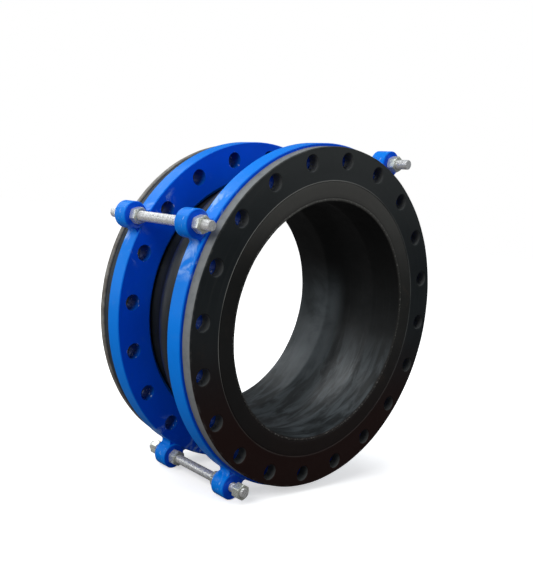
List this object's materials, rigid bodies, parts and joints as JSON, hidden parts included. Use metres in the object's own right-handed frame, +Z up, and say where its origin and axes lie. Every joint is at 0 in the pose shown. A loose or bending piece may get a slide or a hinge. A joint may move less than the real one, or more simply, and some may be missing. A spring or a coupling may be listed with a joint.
{
  "type": "rubber expansion joint",
  "caption": "Large-bore single-arch rubber expansion joint with blue steel backing flanges, full-face rubber flanges and threaded control rods with hex nuts.",
  "frame": {"origin": "centre of the rear sealing face, on the pipe axis", "axes": "+Y along the pipe axis, out of the rear face; the front face looks towards -Y; +Z is up"},
  "size_m": [0.7249, 0.318, 0.7348],
  "materials": {
    "blue_paint": "gloss enamel with light scuffs",
    "flange_rubber": "matt moulded, greyed rim",
    "tube_rubber": "smooth, low sheen",
    "cover_rubber": "smooth, low sheen",
    "cord_fabric": "rubberised cord plies",
    "bead_steel": "drawn wire",
    "zinc_rod": "bright zinc, threaded",
    "zinc_nut": "zinc with a faint yellow-green passivation"
  },
  "bodies": {
    "rear_end": {"rear_backing_flange": "blue_paint", "rear_rubber_flange": "flange_rubber", "rear_bead_ring": "bead_steel", "inner_tube": "tube_rubber", "cord_carcass": "cord_fabric", "outer_cover": "cover_rubber", "control_rod_upper_left": "zinc_rod", "control_rod_upper_right": "zinc_rod", "control_rod_lower_left": "zinc_rod", "rear_inner_nut_upper_left": "zinc_nut", "rear_inner_nut_upper_right": "zinc_nut", "rear_inner_nut_lower_left": "zinc_nut", "rear_outer_nut_upper_left": "zinc_nut", "rear_outer_nut_upper_right": "zinc_nut", "rear_stop_nut_lower_left": "zinc_nut", "front_stop_nut_lower_left": "zinc_nut"},
    "front_end": {"front_backing_flange": "blue_paint", "front_rubber_flange": "flange_rubber", "front_bead_ring": "bead_steel"},
    "outer_nut_upper_left": {"front_outer_nut_upper_left": "zinc_nut"},
    "outer_nut_upper_right": {"front_outer_nut_upper_right": "zinc_nut"},
    "inner_nut_lower_left": {"front_inner_nut_lower_left": "zinc_nut"}
  },
  "joints": [
    {"name": "axial_travel", "type": "slide", "parent": "rear_end", "child": "front_end", "axis": [0, -1, 0], "range_m": [-0.025, 0.014], "stiffness_N_per_m": 120000, "deforming": ["inner_tube", "cord_carcass", "outer_cover"]},
    {"name": "outer_nut_upper_left_screw", "type": "hinge", "parent": "front_end", "child": "outer_nut_upper_left", "pos_m": [-0.34036, -0.281, 0.17342], "axis": [0, -1, 0], "range_deg": [-3601, 2017]},
    {"name": "outer_nut_upper_right_screw", "type": "hinge", "parent": "front_end", "child": "outer_nut_upper_right", "pos_m": [0.17342, -0.281, 0.34036], "axis": [0, -1, 0], "range_deg": [-3601, 2017]},
    {"name": "inner_nut_lower_left_screw", "type": "hinge", "parent": "front_end", "child": "inner_nut_lower_left", "pos_m": [-0.17342, -0.227, -0.34036], "axis": [0, -1, 0], "range_deg": [-3601, 2017]}
  ],
  "couplings": [
    {"joint": "outer_nut_upper_left_screw", "follows": "axial_travel", "rad_per_m": 2513.3},
    {"joint": "outer_nut_upper_right_screw", "follows": "axial_travel", "rad_per_m": 2513.3},
    {"joint": "inner_nut_lower_left_screw", "follows": "axial_travel", "rad_per_m": 2513.3}
  ]
}
